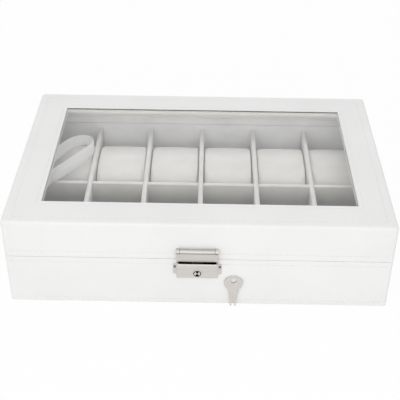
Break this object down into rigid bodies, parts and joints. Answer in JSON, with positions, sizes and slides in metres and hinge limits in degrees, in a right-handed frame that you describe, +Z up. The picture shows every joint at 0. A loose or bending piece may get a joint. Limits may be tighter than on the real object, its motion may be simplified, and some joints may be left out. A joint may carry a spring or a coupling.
{
  "type": "watch box with drawer",
  "caption": "Low rectangular watch case: glazed lid on rear hinges, divided compartments with lift-out strap pillows, a front hasp and lock, a ribbon lid stay and a loose key.",
  "frame": {"origin": "on the floor at the middle of the box's underside", "axes": "+X to the right along the front, +Y to the back, +Z up"},
  "size_m": [0.3, 0.2102, 0.078],
  "materials": {
    "board": "raw fibreboard, hidden",
    "white_leather": "fine pebbled grain, satin",
    "base_felt": "short felt",
    "velvet": "short pile velvet",
    "pillow_cloth": "soft brushed suede cloth",
    "glass": "clear float glass",
    "suede": "flocked strip",
    "satin": "satin ribbon",
    "nickel": "satin nickel plate, brushed"
  },
  "bodies": {
    "case": {"base_felt": "base_felt", "bottom_board": "board", "case_back_board": "board", "case_front_board": "board", "case_leather": "white_leather", "case_left_board": "board", "case_liner_back": "velvet", "case_liner_front": "velvet", "case_liner_left": "velvet", "case_liner_right": "velvet", "case_right_board": "board", "cross_divider_1": "velvet", "cross_divider_2": "velvet", "cross_divider_3": "velvet", "cross_divider_4": "velvet", "cross_divider_5": "velvet", "floor_liner": "velvet", "hinge_case_leaves": "nickel", "hinge_case_screws": "nickel", "hinge_pins": "nickel", "keyhole_ring": "nickel", "lock_back_plate": "nickel", "lock_cover": "nickel", "lock_tacks": "nickel", "long_divider": "velvet", "ribbon_stay": "satin"},
    "lid": {"glass_pane": "glass", "hasp_pin": "nickel", "hasp_plate": "nickel", "hasp_tacks": "nickel", "hinge_lid_leaves": "nickel", "hinge_lid_screws": "nickel", "lid_back_board": "board", "lid_front_board": "board", "lid_leather": "white_leather", "lid_left_board": "board", "lid_liner_back": "velvet", "lid_liner_front": "velvet", "lid_liner_left": "velvet", "lid_liner_right": "velvet", "lid_right_board": "board", "lid_top_frame": "board", "window_trim": "suede"},
    "hasp": {"hasp_flap": "nickel"},
    "lock_plug": {"lock_plug": "nickel"},
    "lock_bolt": {"lock_bolt": "nickel"},
    "key": {"key": "nickel"},
    "pillow_1": {"watch_pillow_1": "pillow_cloth"},
    "pillow_2": {"watch_pillow_2": "pillow_cloth"},
    "pillow_3": {"watch_pillow_3": "pillow_cloth"},
    "pillow_4": {"watch_pillow_4": "pillow_cloth"},
    "pillow_5": {"watch_pillow_5": "pillow_cloth"},
    "pillow_6": {"watch_pillow_6": "pillow_cloth"},
    "pillow_7": {"watch_pillow_7": "pillow_cloth"},
    "pillow_8": {"watch_pillow_8": "pillow_cloth"},
    "pillow_9": {"watch_pillow_9": "pillow_cloth"},
    "pillow_10": {"watch_pillow_10": "pillow_cloth"},
    "pillow_11": {"watch_pillow_11": "pillow_cloth"},
    "pillow_12": {"watch_pillow_12": "pillow_cloth"}
  },
  "joints": [
    {"name": "lid_hinge", "type": "hinge", "parent": "case", "child": "lid", "pos_m": [0, 0.1023, 0.04515], "axis": [-1, 0, 0], "range_deg": [0, 95], "deforming": ["ribbon_stay"]},
    {"name": "hasp_hinge", "type": "hinge", "parent": "lid", "child": "hasp", "pos_m": [-0.0011, -0.10265, 0.0543], "axis": [-1, 0, 0], "range_deg": [0, 120]},
    {"name": "lock_turn", "type": "hinge", "parent": "case", "child": "lock_plug", "pos_m": [-0.0011, -0.103, 0.0353], "axis": [0, -1, 0], "range_deg": [0, 90]},
    {"name": "bolt_slide", "type": "slide", "parent": "case", "child": "lock_bolt", "axis": [0, 0, 1], "range_m": [0, 0.00233]},
    {"name": "key_lift", "type": "slide", "parent": "case", "child": "key", "axis": [0, 0, 1], "range_m": [0, 0.09]},
    {"name": "pillow_1_lift", "type": "slide", "parent": "case", "child": "pillow_1", "axis": [0, 0, 1], "range_m": [0, 0.024]},
    {"name": "pillow_2_lift", "type": "slide", "parent": "case", "child": "pillow_2", "axis": [0, 0, 1], "range_m": [0, 0.024]},
    {"name": "pillow_3_lift", "type": "slide", "parent": "case", "child": "pillow_3", "axis": [0, 0, 1], "range_m": [0, 0.024]},
    {"name": "pillow_4_lift", "type": "slide", "parent": "case", "child": "pillow_4", "axis": [0, 0, 1], "range_m": [0, 0.024]},
    {"name": "pillow_5_lift", "type": "slide", "parent": "case", "child": "pillow_5", "axis": [0, 0, 1], "range_m": [0, 0.024]},
    {"name": "pillow_6_lift", "type": "slide", "parent": "case", "child": "pillow_6", "axis": [0, 0, 1], "range_m": [0, 0.024]},
    {"name": "pillow_7_lift", "type": "slide", "parent": "case", "child": "pillow_7", "axis": [0, 0, 1], "range_m": [0, 0.024]},
    {"name": "pillow_8_lift", "type": "slide", "parent": "case", "child": "pillow_8", "axis": [0, 0, 1], "range_m": [0, 0.024]},
    {"name": "pillow_9_lift", "type": "slide", "parent": "case", "child": "pillow_9", "axis": [0, 0, 1], "range_m": [0, 0.024]},
    {"name": "pillow_10_lift", "type": "slide", "parent": "case", "child": "pillow_10", "axis": [0, 0, 1], "range_m": [0, 0.024]},
    {"name": "pillow_11_lift", "type": "slide", "parent": "case", "child": "pillow_11", "axis": [0, 0, 1], "range_m": [0, 0.024]},
    {"name": "pillow_12_lift", "type": "slide", "parent": "case", "child": "pillow_12", "axis": [0, 0, 1], "range_m": [0, 0.024]}
  ],
  "couplings": [
    {"joint": "lock_turn", "follows": "bolt_slide", "rad_per_m": 673.17}
  ]
}
